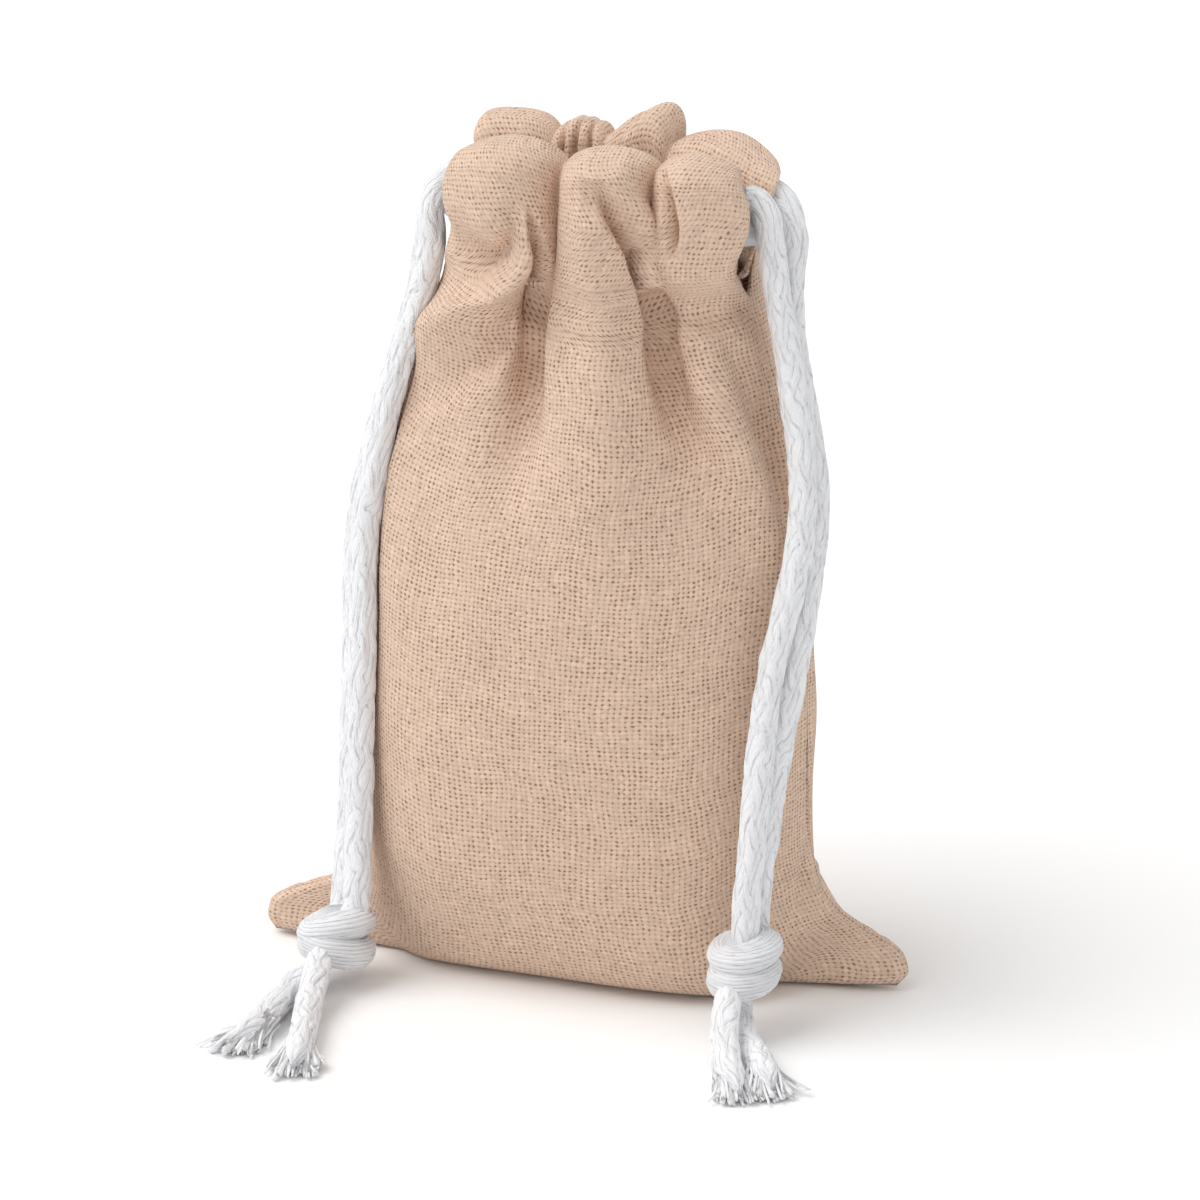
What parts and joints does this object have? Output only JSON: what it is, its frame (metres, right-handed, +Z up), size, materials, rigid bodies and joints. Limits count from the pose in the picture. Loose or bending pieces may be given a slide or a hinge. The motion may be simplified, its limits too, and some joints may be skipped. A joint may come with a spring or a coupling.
{
  "type": "cotton drawstring bag",
  "caption": "Small open-weave cotton bag, standing full, its gathered mouth drawn shut by two knotted braided cords.",
  "frame": {"origin": "under the middle of the bag, on the surface that it stands on", "axes": "+Z up, +X to the right across the bag, +Y from the front panel to the back panel"},
  "size_m": [0.1048, 0.0873, 0.1376],
  "materials": {
    "cotton_cloth": "undyed tan plain-weave cotton, coarse and open, matte",
    "braided_cord": "white braided cotton cord, matte"
  },
  "bodies": {
    "root": {"front_panel": "cotton_cloth", "back_panel": "cotton_cloth", "drawcord_left_hidden": "braided_cord", "drawcord_right_hidden": "braided_cord", "drawcord_left_front": "braided_cord", "drawcord_left_rear": "braided_cord", "drawcord_right_front": "braided_cord", "drawcord_right_rear": "braided_cord", "drawcord_left_front_tail": "braided_cord", "drawcord_left_rear_tail": "braided_cord", "drawcord_right_front_tail": "braided_cord", "drawcord_right_rear_tail": "braided_cord", "knot_left": "braided_cord", "knot_right": "braided_cord"}
  },
  "joints": []
}
